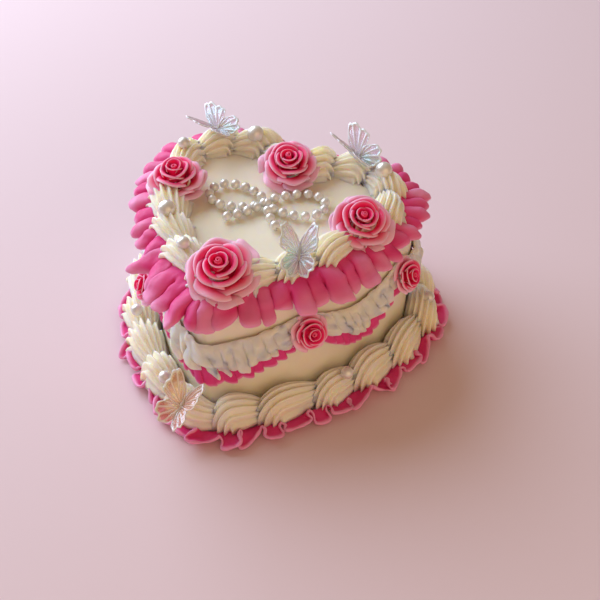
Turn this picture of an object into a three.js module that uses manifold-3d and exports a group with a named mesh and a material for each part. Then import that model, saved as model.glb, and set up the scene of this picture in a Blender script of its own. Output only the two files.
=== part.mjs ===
// A small heart shaped cake in ivory buttercream, piped with shells, frills and swags,
// and set with piped roses, pearls, a bow of beads and clear butterflies.
// Millimetres, +Z up. The origin is on the floor under the middle of the cake,
// +Y points from the heart's tip to its notch and +X to the right lobe.
import * as THREE from "three";
import { mergeVertices } from "three/addons/utils/BufferGeometryUtils.js";
import Module from "manifold-3d";

const wasm = await Module();
wasm.setup();

// Driving dimensions
const GAP = 0.35; // between pieces that touch
const WALL_HEIGHT = 51;
const LOBE = { x: 19.8, y: 19.2, radius: 27.2 };
const TIP = { y: -42.2, radius: 4 };
const SIDE_RADIUS = 88;
const NOTCH_RADIUS = 4;
const TOP_ROUNDING = 2.4;

const BASE_FRILL = { flat: 12, reach: 16.1, swell: 0.9, height: 2.6, lip: 1.2, lift: 1.5, waves: 27 };
const BASE_SHELLS = {
  offset: 6.2,
  notchRadius: 7.6,
  halfWidth: 5.5,
  height: 10.9,
  lift: 0.45, // clear of the frill under them
  ridges: 5,
  count: 19,
  phase: 0.3,
  tail: 0.62,
};
const TOP_FRILL = { inner: -1.5, reach: 6.9, top: 52, foot: 43.4, lip: 46.8, lift: 1.5, waves: 38 };
const TOP_SHELLS = {
  offset: -8.4,
  tipRadius: 8,
  halfWidth: 5.8,
  height: 8.2,
  ridges: 4,
  count: 17,
  phase: 0.55,
  tail: 0.7,
};

const JUNCTION_HEIGHT = 36;
const JUNCTIONS = [0.226, 0.51, 0.76, 1]; // share of the way from the tip to the notch
const CREAM_SWAG = { high: 11.2, low: 7, thick: 3.6, dip: 7.2, ripple: 0.9 };
const PINK_SWAG = { high: 6, low: 3.8, thick: 2.2, ripple: 0.7 };
const SWAG_STEP = 3.2; // from one section of a swag to the next
const SWAG_END_GAP = 3.2;
const SWAG_FOOT = 0.7; // clear of the wall, whose outline is made of short straight steps
const NOTCH_END = 0.962; // the last swags stop short of the notch, where its rose sits

const LARGE_ROSE = { radius: 10.6, height: 10, seat: 5.4, sides: 15 };
const SMALL_ROSE = { radius: 6.5, height: 6, seat: 2.6, sides: 8, tilt: 26, reach: 2.5, notchReach: 3.3 };
const ROSE_BASE = 54.2;
const LARGE_ROSES = {
  rose_left: { x: -32.6, y: 2.8, lean: 8, towards: -105, turn: 20, size: 1 },
  rose_notch: { x: -0.6, y: 26.5, lean: 20, towards: -72, turn: 75, size: 1 },
  rose_right: { x: 33.7, y: 5, lean: 24, towards: -53, turn: 140, size: 1 },
  rose_tip: { x: 2.3, y: -34.2, lean: 22, towards: -80, turn: 200, size: 1.12 },
};

const TOP_PEARLS = [
  { x: -26.9, y: -15.6, radius: 3 },
  { x: -13.6, y: -29.4, radius: 2.1 },
  { x: -18.2, y: 36.6, radius: 3 },
  { x: -39.6, y: 21.4, radius: 2.1 },
  { x: 32.3, y: 32.4, radius: 3 },
];
const TOP_PEARL_HEIGHT = 58.9;
const BASE_PEARLS = [0.306, 0.596, 0.86, -0.102, -0.31, -0.62]; // share of the way round to the notch
const BASE_PEARL = { offset: 8.2, tipRadius: 12, notchRadius: 9, radius: 2.2, z: 13.4 };
const ICOSAHEDRON_INNER = 0.79; // how far out its faces lie, as a share of its corners' radius

const BEAD = { radius: 1.65, neck: 0.65, pitch: 4.1 };
const BOW = {
  x: -1.3,
  y: 6.8,
  turn: 9,
  loop: { centre: 10.6, long: 10, wide: 6.1, beads: 12, tilt: 8.5 },
  tails: [
    { x: -10.8, y: -10.1 },
    { x: 6.1, y: -11.2 },
  ],
};

const WING = {
  fore: 11.7,
  foreAngle: 42,
  hind: 8.3,
  hindAngle: -34,
  low: -78, // the outline's first and last angle
  high: 72,
  waist: 3.4,
  thick: 0.6,
};
const BUTTERFLY_BODY = { length: 9, radius: 0.9 };
const BUTTERFLIES = {
  butterfly_back_left: { x: -31.6, y: 32.6, z: 59.5, heading: 74, pitch: 4, dihedral: 30, size: 1.08 },
  butterfly_back_right: { x: 21.8, y: 35, z: 59.8, heading: 62, pitch: 12, dihedral: 42, size: 1.14 },
  butterfly_front: { x: 22.8, y: -21.6, z: 59, heading: 18, pitch: 40, dihedral: 36, size: 1.02 },
  butterfly_base: { x: -5.2, y: -55, z: 11.6, heading: -18, pitch: 40, dihedral: 28, size: 1.1 },
};

const IVORY = 0xf3e8cf;
const PINK = 0xd8508c;
const ROSE_PINK = 0xe0406c;
const PEARL = 0xe9e7e4;
const CLEAR = 0xdde8f2;

const cream = new THREE.MeshStandardMaterial({ color: IVORY, roughness: 0.6, metalness: 0 });
const frill = new THREE.MeshStandardMaterial({ color: PINK, roughness: 0.6, metalness: 0 });
const petal = new THREE.MeshStandardMaterial({ color: ROSE_PINK, roughness: 0.6, metalness: 0 });
const pearl = new THREE.MeshStandardMaterial({ color: PEARL, roughness: 0.25, metalness: 0.2 });
const clear = new THREE.MeshStandardMaterial({ color: CLEAR, roughness: 0.15, metalness: 0 });

const cake = new THREE.Group();
const rad = THREE.MathUtils.degToRad;
const up = new THREE.Vector3(0, 0, 1);

function add(name, geometry, material) {
  const mesh = new THREE.Mesh(geometry, material.clone());
  mesh.name = name;
  cake.add(mesh);
  return mesh;
}

// Positions only, with shared vertices merged.
function welded(geometry) {
  geometry.deleteAttribute("normal");
  geometry.deleteAttribute("uv");
  return mergeVertices(geometry, 1e-4);
}

function toSolid(geometry) {
  const merged = welded(geometry.clone());
  return new wasm.Manifold(
    new wasm.Mesh({
      numProp: 3,
      vertProperties: merged.attributes.position.array,
      triVerts: new Uint32Array(merged.index.array),
    }),
  );
}

function toGeometry(solid) {
  const mesh = solid.getMesh();
  const geometry = new THREE.BufferGeometry();
  geometry.setAttribute("position", new THREE.BufferAttribute(mesh.vertProperties, 3));
  geometry.setIndex(new THREE.BufferAttribute(mesh.triVerts, 1));
  return geometry;
}

const carve = (geometry, cutters) =>
  toGeometry(cutters.reduce((left, cutter) => left.subtract(toSolid(cutter)), toSolid(geometry)));

const join = (geometries) =>
  toGeometry(geometries.map(toSolid).reduce((whole, part) => whole.add(part)));

// A skin over rows of closed sections. Rows run forward, and each section turns
// anticlockwise seen from ahead; an open skin is capped at its first and last row.
function skin(rows, ringClosed) {
  const across = rows[0].length;
  const positions = rows.flat().flatMap((point) => [point.x, point.y, point.z]);
  const index = [];
  const bands = ringClosed ? rows.length : rows.length - 1;
  for (let i = 0; i < bands; i++) {
    const next = (i + 1) % rows.length;
    for (let j = 0; j < across; j++) {
      const k = (j + 1) % across;
      const [a, b, c, d] = [i * across + j, next * across + j, next * across + k, i * across + k];
      index.push(a, b, c, a, c, d);
    }
  }
  if (!ringClosed) {
    const last = (rows.length - 1) * across;
    for (let j = 1; j < across - 1; j++) {
      index.push(0, j, j + 1);
      index.push(last, last + j + 1, last + j);
    }
  }
  const geometry = new THREE.BufferGeometry();
  geometry.setAttribute("position", new THREE.Float32BufferAttribute(positions, 3));
  geometry.setIndex(index);
  return geometry;
}

// The heart's outline at an offset outside the wall, anticlockwise from the tip,
// as arcs that meet smoothly: tip, side, lobe, notch, lobe, side, tip.
function heart(offset, tipRadius = TIP.radius + offset, notchRadius = NOTCH_RADIUS) {
  const tip = new THREE.Vector2(0, TIP.y);
  const lobe = new THREE.Vector2(LOBE.x, LOBE.y);
  const toTip = SIDE_RADIUS - TIP.radius;
  const toLobe = SIDE_RADIUS - LOBE.radius;
  const apart = tip.distanceTo(lobe);
  const along = (toTip ** 2 - toLobe ** 2 + apart ** 2) / (2 * apart);
  const aside = Math.sqrt(toTip ** 2 - along ** 2);
  const way = lobe.clone().sub(tip).divideScalar(apart);
  const side = tip.clone().addScaledVector(way, along);
  side.addScaledVector(new THREE.Vector2(-way.y, way.x), aside);

  const sideRadius = SIDE_RADIUS + offset;
  const lobeRadius = LOBE.radius + offset;
  const tipY = side.y - Math.sqrt((sideRadius - tipRadius) ** 2 - side.x ** 2);
  const notchY = LOBE.y + Math.sqrt((lobeRadius + notchRadius) ** 2 - LOBE.x ** 2);
  const tipEnd = Math.atan2(tipY - side.y, -side.x);
  const sideEnd = Math.atan2(lobe.y - side.y, lobe.x - side.x);
  const notchStart = Math.atan2(notchY - LOBE.y, -LOBE.x);
  const half = Math.PI / 2;

  const path = new THREE.Path();
  path.absarc(0, tipY, tipRadius, -half, tipEnd);
  path.absarc(side.x, side.y, sideRadius, tipEnd, sideEnd);
  path.absarc(LOBE.x, LOBE.y, lobeRadius, sideEnd, notchStart);
  path.absarc(0, notchY, notchRadius, notchStart - Math.PI, -notchStart, true);
  path.absarc(-LOBE.x, LOBE.y, lobeRadius, Math.PI - notchStart, Math.PI - sideEnd);
  path.absarc(-side.x, side.y, sideRadius, Math.PI - sideEnd, Math.PI - tipEnd);
  path.absarc(0, tipY, tipRadius, Math.PI - tipEnd, 3 * half);
  return path;
}

// A point at a share of the way round a path, with its outward direction.
function station(path, share) {
  const wrapped = THREE.MathUtils.euclideanModulo(share, 1);
  const point = path.getPointAt(wrapped);
  const step = 0.002;
  const before = path.getPointAt(THREE.MathUtils.euclideanModulo(wrapped - step, 1));
  const after = path.getPointAt(THREE.MathUtils.euclideanModulo(wrapped + step, 1));
  const tangent = after.sub(before).normalize();
  return { point, out: new THREE.Vector2(tangent.y, -tangent.x) };
}

const at = ({ point, out }, reach, z) =>
  new THREE.Vector3(point.x + out.x * reach, point.y + out.y * reach, z);

// The same slightly uneven number for a piece each time, from -1 to 1.
function uneven(seed) {
  const wave = Math.sin(seed * 12.9898 + 4.137) * 43758.5453;
  return 2 * (wave - Math.floor(wave)) - 1;
}

// Heart prism with a rounded top edge.
function cakeBody() {
  const levels = [
    { z: 0, offset: 0 },
    { z: WALL_HEIGHT - TOP_ROUNDING, offset: 0 },
    { z: WALL_HEIGHT - 0.3 * TOP_ROUNDING, offset: -0.3 * TOP_ROUNDING },
    { z: WALL_HEIGHT, offset: -TOP_ROUNDING },
  ];
  const outlines = levels.map(({ offset }) => {
    const points = [];
    for (const point of heart(offset).getPoints(4)) {
      if (!points.length || point.distanceTo(points.at(-1)) > 0.01) points.push(point);
    }
    if (points[0].distanceTo(points.at(-1)) < 0.01) points.pop();
    return points;
  });
  const count = outlines[0].length;
  const positions = outlines.flatMap((points, level) =>
    points.flatMap((point) => [point.x, point.y, levels[level].z]),
  );
  const index = [];
  for (let level = 0; level < levels.length - 1; level++) {
    for (let i = 0; i < count; i++) {
      const next = (i + 1) % count;
      const low = level * count;
      const high = low + count;
      index.push(low + i, low + next, high + next, low + i, high + next, high + i);
    }
  }
  const top = (levels.length - 1) * count;
  for (const [a, b, c] of THREE.ShapeUtils.triangulateShape(outlines[0], [])) {
    index.push(a, c, b);
  }
  for (const [a, b, c] of THREE.ShapeUtils.triangulateShape(outlines.at(-1), [])) {
    index.push(top + a, top + b, top + c);
  }
  const geometry = new THREE.BufferGeometry();
  geometry.setAttribute("position", new THREE.Float32BufferAttribute(positions, 3));
  geometry.setIndex(index);
  return geometry;
}

// The frill on the floor: flat under the shells, with a thin waving lip outside,
// which reaches out furthest at the tip.
function baseFrill() {
  const middle = 8;
  const path = heart(middle, TIP.radius + middle, middle + 1.5);
  const samples = 5;
  const count = BASE_FRILL.waves * samples;
  const rows = [];
  for (let i = 0; i < count; i++) {
    const place = station(path, i / count);
    const phase = (2 * Math.PI * i) / samples;
    const swing = 1 + 0.35 * uneven(Math.floor(i / samples));
    const lip = BASE_FRILL.lip / 2;
    const z = lip + BASE_FRILL.lift * (1 + Math.sin(phase) * Math.min(swing, 1));
    const swell = BASE_FRILL.swell * Math.cos((2 * Math.PI * i) / count);
    const reach = BASE_FRILL.reach + swell - middle + 0.9 * swing * Math.cos(phase + 0.9);
    rows.push([
      at(place, GAP - middle, 0),
      at(place, BASE_FRILL.flat - middle, 0),
      at(place, reach, z - lip),
      at(place, reach + 0.4, z + lip),
      at(place, BASE_FRILL.flat + 0.8 - middle, BASE_FRILL.height),
      at(place, GAP - middle, BASE_FRILL.height),
    ]);
  }
  return skin(rows, true);
}

// The frill that lies over the top edge and hangs outside it, with a lip that rises and falls.
function topFrill() {
  const middle = 3.4;
  const path = heart(middle, TIP.radius + middle, middle + 1.8);
  const samples = 4;
  const count = TOP_FRILL.waves * samples;
  const rows = [];
  for (let i = 0; i < count; i++) {
    const place = station(path, i / count);
    const phase = (2 * Math.PI * (i + 0.5)) / samples;
    const swing = 1 + 0.3 * uneven(40 + Math.floor(i / samples));
    const z = TOP_FRILL.lip + TOP_FRILL.lift * swing * Math.sin(phase);
    const reach = TOP_FRILL.reach - middle + 0.7 * Math.cos(phase) * swing;
    rows.push([
      at(place, GAP - middle, TOP_FRILL.foot),
      at(place, reach - 0.5, z - 1.1),
      at(place, reach, z + 0.3),
      at(place, reach - 2, TOP_FRILL.top - 0.5),
      at(place, TOP_FRILL.inner - middle, TOP_FRILL.top),
      at(place, GAP - middle, WALL_HEIGHT + GAP),
    ]);
  }
  return skin(rows, true);
}

// A border of piped shells. Each shell starts in a raised ridged head and thins to a tail
// that the next head covers. The section is a low star: ridges with grooves between.
function shellBorder(size, path, floor) {
  const along = [
    { share: 0, size: size.tail },
    { share: 0.13, size: 0.95 },
    { share: 0.42, size: 1 },
    { share: 0.86, size: size.tail + 0.12 },
  ];
  const rows = [];
  for (let shell = 0; shell < size.count; shell++) {
    const girth = 1 + 0.05 * uneven(80 + shell);
    for (const step of along) {
      const place = station(path, (shell + size.phase + step.share) / size.count);
      const section = [];
      for (let ridge = 0; ridge <= 2 * size.ridges; ridge++) {
        const angle = (Math.PI * ridge) / (2 * size.ridges);
        const depth = ridge % 2 ? 0.8 : 1;
        const reach = size.halfWidth * depth * Math.cos(angle) * (0.35 + 0.65 * step.size) * girth;
        const rise = size.height * depth * Math.sin(angle) * step.size * girth;
        section.push(at(place, reach, floor + rise));
      }
      rows.push(section);
    }
  }
  return skin(rows, true);
}

// One swag on the wall, between two junctions, with its closed section given for each step.
function swag(from, to, section) {
  const wall = heart(0);
  const half = wall.getLength() / 2;
  const steps = Math.round(((to - from) * half) / SWAG_STEP);
  const inset = SWAG_END_GAP / half;
  const rows = [];
  for (let i = 0; i <= steps; i++) {
    const share = THREE.MathUtils.lerp(from + inset, to - inset, i / steps);
    const hang = 1 - (2 * (i / steps) - 1) ** 2;
    const place = station(wall, share / 2);
    rows.push(section(place, hang, i % 2 ? 1 : -1));
  }
  return skin(rows, false);
}

function creamHeights(hang, side) {
  const tall = THREE.MathUtils.lerp(CREAM_SWAG.low, CREAM_SWAG.high, hang);
  const middle = JUNCTION_HEIGHT + 0.8 - CREAM_SWAG.dip * hang;
  const bottom = middle - tall / 2 - 0.5 * CREAM_SWAG.ripple * side;
  return { bottom, top: middle + tall / 2 };
}

function creamSection(place, hang, side) {
  const { bottom, top } = creamHeights(hang, side);
  const thick = THREE.MathUtils.lerp(1.7, CREAM_SWAG.thick, hang) + 0.5 * CREAM_SWAG.ripple * side;
  return [
    at(place, SWAG_FOOT, bottom),
    at(place, thick, bottom + 0.9),
    at(place, 0.85 * thick, (bottom + top) / 2),
    at(place, SWAG_FOOT + 0.6, top),
    at(place, SWAG_FOOT, top),
  ];
}

function pinkSection(place, hang, side) {
  const top = creamHeights(hang, side).bottom - 1.6 * GAP;
  const tall = THREE.MathUtils.lerp(PINK_SWAG.low, PINK_SWAG.high, hang);
  const thick = PINK_SWAG.thick + 0.5 * PINK_SWAG.ripple * side;
  const bottom = top - tall - 0.4 * PINK_SWAG.ripple * side;
  return [
    at(place, SWAG_FOOT, bottom),
    at(place, thick + 0.5, bottom),
    at(place, thick, top),
    at(place, SWAG_FOOT, top),
  ];
}

// A piped rose on its back: underside, then whorls of petals that rise to a bud.
function rose({ radius, height, seat, sides }) {
  const whorls = [
    { r: seat, z: 0, petals: 1, lobe: 0 },
    { r: 0.98 * radius, z: 0.36 * height, petals: 5, lobe: 0.07 },
    { r: 0.9 * radius, z: 0.56 * height, petals: 5, lobe: 0.06 },
    { r: 0.72 * radius, z: 0.47 * height, petals: 5, lobe: 0 },
    { r: 0.62 * radius, z: 0.84 * height, petals: 4, lobe: 0.07 },
    { r: 0.43 * radius, z: 0.66 * height, petals: 4, lobe: 0 },
    { r: 0.3 * radius, z: height, petals: 3, lobe: 0.1 },
  ];
  const positions = [];
  whorls.forEach((whorl, level) => {
    for (let i = 0; i < sides; i++) {
      const angle = (2 * Math.PI * (i + 0.5 * (level % 2))) / sides;
      const r = whorl.r * (1 + whorl.lobe * Math.cos(whorl.petals * angle + level));
      positions.push(r * Math.cos(angle), r * Math.sin(angle), whorl.z);
    }
  });
  const bottom = positions.length / 3;
  positions.push(0, 0, 0);
  positions.push(0, 0, 0.8 * height);
  const index = [];
  for (let i = 0; i < sides; i++) {
    const next = (i + 1) % sides;
    index.push(bottom, next, i);
    for (let level = 0; level < whorls.length - 1; level++) {
      const [low, high] = [level * sides, (level + 1) * sides];
      index.push(low + i, low + next, high + next, low + i, high + next, high + i);
    }
    const last = (whorls.length - 1) * sides;
    index.push(last + i, last + next, bottom + 1);
  }
  const geometry = new THREE.BufferGeometry();
  geometry.setAttribute("position", new THREE.Float32BufferAttribute(positions, 3));
  geometry.setIndex(index);
  return geometry;
}

// The room that a rose presses into the border it sits on.
function roseSeat({ radius, height, seat }) {
  const profile = [
    new THREE.Vector2(0, -GAP),
    new THREE.Vector2(seat + 0.9, -GAP),
    new THREE.Vector2(1.12 * radius, 0.36 * height - 0.6),
    new THREE.Vector2(1.12 * radius, height + 3),
    new THREE.Vector2(0, height + 3),
  ];
  return new THREE.LatheGeometry(profile, 11).rotateX(Math.PI / 2);
}

const place = (geometry, matrix) => geometry.clone().applyMatrix4(matrix);

function rosePlace({ x, y, lean, towards, turn, size }) {
  const facing = new THREE.Vector3(Math.cos(rad(towards)), Math.sin(rad(towards)), 0);
  const axis = new THREE.Vector3().crossVectors(up, facing);
  return new THREE.Matrix4()
    .makeTranslation(x, y, ROSE_BASE)
    .multiply(new THREE.Matrix4().makeRotationAxis(axis, rad(lean)))
    .multiply(new THREE.Matrix4().makeRotationZ(rad(turn)))
    .multiply(new THREE.Matrix4().makeScale(size, size, size));
}

// A rose on the side of the cake faces outwards and a little up.
function sideRosePlace(share) {
  const { point, out } = station(heart(0), share / 2);
  const tilt = rad(SMALL_ROSE.tilt);
  const facing = new THREE.Vector3(out.x * Math.cos(tilt), out.y * Math.cos(tilt), Math.sin(tilt));
  const reach = share < 1 ? SMALL_ROSE.reach : SMALL_ROSE.notchReach;
  return new THREE.Matrix4()
    .makeTranslation(point.x + out.x * reach, point.y + out.y * reach, JUNCTION_HEIGHT - 2)
    .multiply(
      new THREE.Matrix4().makeRotationFromQuaternion(
        new THREE.Quaternion().setFromUnitVectors(up, facing),
      ),
    );
}

const ball = (radius, x, y, z) => new THREE.SphereGeometry(radius, 7, 5).translate(x, y, z);
const pocket = (radius, x, y, z) =>
  new THREE.IcosahedronGeometry((radius + GAP) / ICOSAHEDRON_INNER, 0).translate(x, y, z);

// A string of beads along points: each bead swells from a thin neck.
function beadString(points, closed) {
  const rings = [
    { share: 0, radius: BEAD.neck },
    { share: 0.25, radius: 0.93 * BEAD.radius },
    { share: 0.75, radius: 0.93 * BEAD.radius },
  ];
  const curve = new THREE.CatmullRomCurve3(points, closed, "centripetal");
  const beads = Math.round(curve.getLength() / BEAD.pitch);
  const sides = 6;
  const rows = [];
  for (let i = 0; i < beads; i++) {
    for (const ring of rings) {
      const share = (i + ring.share) / beads;
      const centre = curve.getPointAt(share);
      const tangent = curve.getTangentAt(share);
      const out = new THREE.Vector3().crossVectors(tangent, up).normalize();
      const row = [];
      for (let j = 0; j < sides; j++) {
        const angle = (2 * Math.PI * j) / sides + Math.PI / 2;
        const point = centre.clone().addScaledVector(out, ring.radius * Math.cos(angle));
        row.push(point.addScaledVector(up, ring.radius * Math.sin(angle)));
      }
      rows.push(row);
    }
  }
  if (!closed) rows.shift();
  return skin(rows, closed);
}

function bow() {
  const height = WALL_HEIGHT + GAP + BEAD.radius;
  const knot = new THREE.Vector3(BOW.x, BOW.y, 0);
  const spot = (x, y) => new THREE.Vector3(x, y, height).applyAxisAngle(up, rad(BOW.turn)).add(knot);
  const { centre, long, wide, beads, tilt } = BOW.loop;
  const strings = [-1, 1].map((hand) => {
    const points = [];
    for (let i = 0; i < beads; i++) {
      const angle = (2 * Math.PI * i) / beads;
      const pinch = 1 - 0.28 * Math.cos(angle);
      const [u, v] = [centre - long * Math.cos(angle), wide * pinch * Math.sin(angle)];
      const bend = rad(tilt);
      const x = hand * (u * Math.cos(bend) - v * Math.sin(bend));
      points.push(spot(x, u * Math.sin(bend) + v * Math.cos(bend)));
    }
    return beadString(hand > 0 ? points : points.reverse(), true);
  });
  const along = (tail, share) => spot(0.9 * share * tail.x, share * tail.y);
  const end = (tail) => spot(tail.x, tail.y);
  const [left, right] = BOW.tails;
  const tails = [end(left), along(left, 0.55), spot(0, 0), along(right, 0.55), end(right)];
  return join([...strings, beadString(tails, false)]);
}

// One side's fore and hind wing as one thin plate, hinged along the body.
function wing(hand) {
  const outline = new THREE.Shape();
  outline.moveTo(0, -2.6);
  const steps = 11;
  for (let i = 0; i <= steps; i++) {
    const angle = rad(THREE.MathUtils.lerp(WING.low, WING.high, i / steps));
    const fore = WING.fore * Math.max(0, Math.cos(1.35 * (angle - rad(WING.foreAngle)))) ** 0.8;
    const hind = WING.hind * Math.max(0, Math.cos(1.5 * (angle - rad(WING.hindAngle)))) ** 0.6;
    const reach = Math.max(fore, hind, WING.waist);
    outline.lineTo(reach * Math.cos(angle), reach * Math.sin(angle));
  }
  outline.lineTo(0, 2.6);
  const plate = new THREE.ExtrudeGeometry(outline, { depth: WING.thick, bevelEnabled: false });
  return hand > 0 ? plate : plate.rotateY(Math.PI).translate(0, 0, WING.thick);
}

function butterfly(dihedral) {
  const { length, radius } = BUTTERFLY_BODY;
  const body = new THREE.CylinderGeometry(0.6 * radius, radius, length, 6);
  const wings = [1, -1].map((hand) => wing(hand).rotateY(-hand * rad(dihedral)));
  return join([body, ...wings]);
}

function butterflyPlace({ x, y, z, heading, pitch, size }) {
  return new THREE.Matrix4()
    .makeTranslation(x, y, z)
    .multiply(new THREE.Matrix4().makeRotationZ(rad(heading)))
    .multiply(new THREE.Matrix4().makeRotationX(rad(pitch)))
    .multiply(new THREE.Matrix4().makeScale(size, size, size));
}

// The groove that a butterfly's body presses into the border.
const butterflySeat = () =>
  new THREE.BoxGeometry(
    2 * (BUTTERFLY_BODY.radius + GAP),
    BUTTERFLY_BODY.length + 2 * GAP,
    2 * (BUTTERFLY_BODY.radius + GAP) + 4,
  ).translate(0, 0, 2);

add("cake_body", cakeBody(), cream);
add("base_frill", baseFrill(), frill);
add("top_frill", topFrill(), frill);

const topCutters = [];
const baseCutters = [];

for (const [name, spot] of Object.entries(LARGE_ROSES)) {
  const matrix = rosePlace(spot);
  add(name, place(rose(LARGE_ROSE), matrix), petal);
  topCutters.push(place(roseSeat(LARGE_ROSE), matrix));
}

TOP_PEARLS.forEach(({ x, y, radius }, i) => {
  add(`pearl_top_${i + 1}`, ball(radius, x, y, TOP_PEARL_HEIGHT), pearl);
  topCutters.push(pocket(radius, x, y, TOP_PEARL_HEIGHT));
});

BASE_PEARLS.forEach((share, i) => {
  const { point } = station(heart(BASE_PEARL.offset, BASE_PEARL.tipRadius, BASE_PEARL.notchRadius), share / 2);
  add(`pearl_base_${i + 1}`, ball(BASE_PEARL.radius, point.x, point.y, BASE_PEARL.z), pearl);
  baseCutters.push(pocket(BASE_PEARL.radius, point.x, point.y, BASE_PEARL.z));
});

for (const [name, spot] of Object.entries(BUTTERFLIES)) {
  const matrix = butterflyPlace(spot);
  add(name, place(butterfly(spot.dihedral), matrix), clear);
  const cutters = name === "butterfly_base" ? baseCutters : topCutters;
  cutters.push(place(butterflySeat(), matrix));
}

const basePath = heart(BASE_SHELLS.offset, TIP.radius + BASE_SHELLS.offset, BASE_SHELLS.notchRadius);
const baseFloor = BASE_FRILL.height + GAP + BASE_SHELLS.lift;
const topPath = heart(TOP_SHELLS.offset, TOP_SHELLS.tipRadius, NOTCH_RADIUS - TOP_SHELLS.offset);
const topFloor = WALL_HEIGHT + GAP;
add("base_shells", carve(shellBorder(BASE_SHELLS, basePath, baseFloor), baseCutters), cream);
add("top_shells", carve(shellBorder(TOP_SHELLS, topPath, topFloor), topCutters), cream);

// Swags: one round the tip, then three on each side up to the notch.
const spans = [[-JUNCTIONS[0], JUNCTIONS[0]]];
for (let i = 0; i < JUNCTIONS.length - 1; i++) {
  const end = Math.min(JUNCTIONS[i + 1], NOTCH_END);
  spans.push([JUNCTIONS[i], end]);
  spans.push([-end, -JUNCTIONS[i]]);
}
spans.forEach(([from, to], i) => {
  add(`cream_swag_${i + 1}`, swag(from, to, creamSection), cream);
  add(`pink_swag_${i + 1}`, swag(from, to, pinkSection), frill);
});

JUNCTIONS.flatMap((share) => (share < 1 ? [share, -share] : [share])).forEach((share, i) => {
  add(`side_rose_${i + 1}`, place(rose(SMALL_ROSE), sideRosePlace(share)), petal);
});

add("pearl_bow", bow(), pearl);

export default cake;
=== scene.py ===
# Looks of a small heart shaped cake: ivory and pink buttercream piped as shells, frills and
# swags, with piped roses, pearls, a bow of beads and clear butterflies.
# Metres, +Z up. The heart's tip points to -Y and its notch to +Y. Sizes below are in mm.
import math
import random

import bpy
from mathutils import Matrix, Vector, noise


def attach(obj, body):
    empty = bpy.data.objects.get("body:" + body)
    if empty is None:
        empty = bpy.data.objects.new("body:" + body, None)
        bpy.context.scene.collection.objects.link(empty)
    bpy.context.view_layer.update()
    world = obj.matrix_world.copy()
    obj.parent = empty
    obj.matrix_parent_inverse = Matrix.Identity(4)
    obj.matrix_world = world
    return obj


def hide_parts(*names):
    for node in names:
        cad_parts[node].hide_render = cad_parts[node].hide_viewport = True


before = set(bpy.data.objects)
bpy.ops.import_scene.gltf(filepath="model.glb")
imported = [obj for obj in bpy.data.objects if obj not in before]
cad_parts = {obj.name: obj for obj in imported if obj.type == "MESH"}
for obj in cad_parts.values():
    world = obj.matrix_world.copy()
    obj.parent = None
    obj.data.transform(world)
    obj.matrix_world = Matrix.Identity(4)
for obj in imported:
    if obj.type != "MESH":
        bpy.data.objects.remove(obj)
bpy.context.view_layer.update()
mm = 0.001
turn = 2 * math.pi


# Selecting, editing, joining and applying
def editAll():
    bpy.ops.object.mode_set(mode="EDIT")
    bpy.ops.mesh.select_all(action="SELECT")


def leaveEdit():
    bpy.ops.object.mode_set(mode="OBJECT")


def extrude(x, y, z):
    bpy.ops.mesh.extrude_region_move(TRANSFORM_OT_translate={"value": (x, y, z)})


def deselectAll():
    if bpy.context.object and bpy.context.object.mode != "OBJECT":
        leaveEdit()
    bpy.ops.object.select_all(action="DESELECT")


def pick(*pieces):
    deselectAll()
    for piece in pieces:
        piece.select_set(True)
    bpy.context.view_layer.objects.active = pieces[0]


def addModifier(piece, kind, **settings):
    modifier = piece.modifiers.new(kind.title(), kind)
    for key, value in settings.items():
        setattr(modifier, key, value)
    return modifier


def applyModifiers(piece):
    pick(piece)
    for modifier in list(piece.modifiers):
        bpy.ops.object.modifier_apply(modifier=modifier.name)


def copyOf(piece):
    double = piece.copy()
    double.data = piece.data.copy()
    bpy.context.scene.collection.objects.link(double)
    return double


def joined(name, pieces):
    pick(*pieces)
    if len(pieces) > 1:
        bpy.ops.object.join()
    whole = bpy.context.object
    whole.name = name
    return whole


def remove(piece):
    mesh = piece.data
    bpy.data.objects.remove(piece)
    bpy.data.meshes.remove(mesh)


def smoothed(piece):
    addModifier(piece, "SUBSURF", levels=1, render_levels=1)
    applyModifiers(piece)


# Small unevenness that hands and soft icing leave: every point moves along its own normal
def roughen(piece, size, height):
    normals = [vertex.normal.copy() for vertex in piece.data.vertices]
    for vertex, normal in zip(piece.data.vertices, normals):
        vertex.co += normal * noise.noise(vertex.co / (size * mm)) * height * mm


def outwards(piece):
    pick(piece)
    editAll()
    bpy.ops.mesh.normals_make_consistent(inside=False)
    leaveEdit()


def finishPiece(piece, material, slot, *nodes):
    pick(piece)
    bpy.ops.object.shade_smooth()
    piece.data.materials.clear()
    piece.data.materials.append(material)
    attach(piece, "root")
    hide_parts(*nodes)


# A sheet whose points are placed by a rule, from their shares of the way along and across it. The
# rim attribute, which the materials paint by, is the share across unless the rule gives its own.
def sheet(name, along, across, rule, closed=False):
    deselectAll()
    bpy.ops.mesh.primitive_grid_add(x_subdivisions=along, y_subdivisions=across, size=1)
    piece = bpy.context.object
    piece.name = name
    mesh = piece.data
    rim = mesh.attributes.new("rim", "FLOAT", "POINT")
    for i, vertex in enumerate(mesh.vertices):
        u, w = vertex.co.x + 0.5, vertex.co.y + 0.5
        x, y, z, *painted = rule(u, w)
        rim.data[i].value = painted[0] if painted else w
        vertex.co = Vector((x, y, z)) * mm
    if closed:
        editAll()
        bpy.ops.mesh.remove_doubles(threshold=0.02 * mm)
        leaveEdit()
    return piece


def paintEvenly(piece, value):
    rim = piece.data.attributes.new("rim", "FLOAT", "POINT")
    for item in rim.data:
        item.value = value


def rotated(degrees, axis):
    return Matrix.Rotation(math.radians(degrees), 4, axis)


# The same number from -1 to 1 each time for a seed
def uneven(seed):
    return 2 * random.Random(seed).random() - 1


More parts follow.
